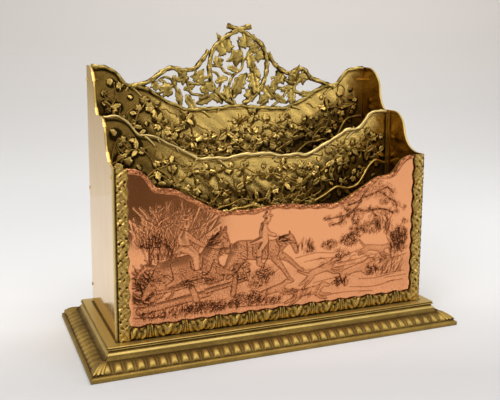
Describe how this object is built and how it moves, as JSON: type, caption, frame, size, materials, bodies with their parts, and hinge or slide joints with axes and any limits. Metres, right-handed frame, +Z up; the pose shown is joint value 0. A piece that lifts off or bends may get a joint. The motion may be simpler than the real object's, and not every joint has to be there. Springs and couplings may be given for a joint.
{
  "type": "letter rack",
  "caption": "Desk letter rack: brass side plates, stepped leafy cast panels with a pierced crest, embossed copper front, gadrooned stepped base.",
  "frame": {"origin": "centre of the underside of the base", "axes": "+Z up, +X along the length, the low front with the copper panel faces -Y"},
  "size_m": [0.306, 0.144, 0.2516],
  "materials": {
    "polished_brass": "mirror polished sheet brass",
    "cast_brass": "antiqued cast brass, dark in the hollows",
    "base_brass": "aged satin brass",
    "copper": "embossed copper sheet, bright ground and dark hollows",
    "steel": "plain steel screw",
    "wood": "stained softwood",
    "baize": "green baize"
  },
  "bodies": {
    "root": {"gadroon_moulding_right": "base_brass", "gadroon_moulding_back": "base_brass", "gadroon_moulding_left": "base_brass", "gadroon_moulding_front": "base_brass", "scotia_moulding_right": "base_brass", "scotia_moulding_back": "base_brass", "scotia_moulding_left": "base_brass", "scotia_moulding_front": "base_brass", "base_board": "wood", "deck_block": "wood", "deck_plate": "base_brass", "box_floor": "cast_brass", "baize_pad": "baize", "base_screw_front_left": "steel", "base_nut_front_left": "cast_brass", "base_screw_front_right": "steel", "base_nut_front_right": "cast_brass", "base_screw_back_left": "steel", "base_nut_back_left": "cast_brass", "base_screw_back_right": "steel", "base_nut_back_right": "cast_brass", "side_plate_left": "polished_brass", "side_plate_right": "polished_brass", "divider_panel": "cast_brass", "front_lining": "cast_brass", "copper_panel": "copper", "back_panel": "cast_brass", "frame_stile_left": "cast_brass", "frame_stile_right": "cast_brass", "frame_rail_bottom": "cast_brass", "divider_strip_left": "polished_brass", "front_strip_left": "cast_brass", "divider_strip_right": "polished_brass", "front_strip_right": "cast_brass", "back_pin_left_1": "cast_brass", "back_pin_left_2": "cast_brass", "back_pin_left_3": "cast_brass", "front_pin_left_1": "cast_brass", "front_pin_left_2": "cast_brass", "back_pin_right_1": "cast_brass", "back_pin_right_2": "cast_brass", "back_pin_right_3": "cast_brass", "front_pin_right_1": "cast_brass", "front_pin_right_2": "cast_brass"}
  },
  "joints": []
}
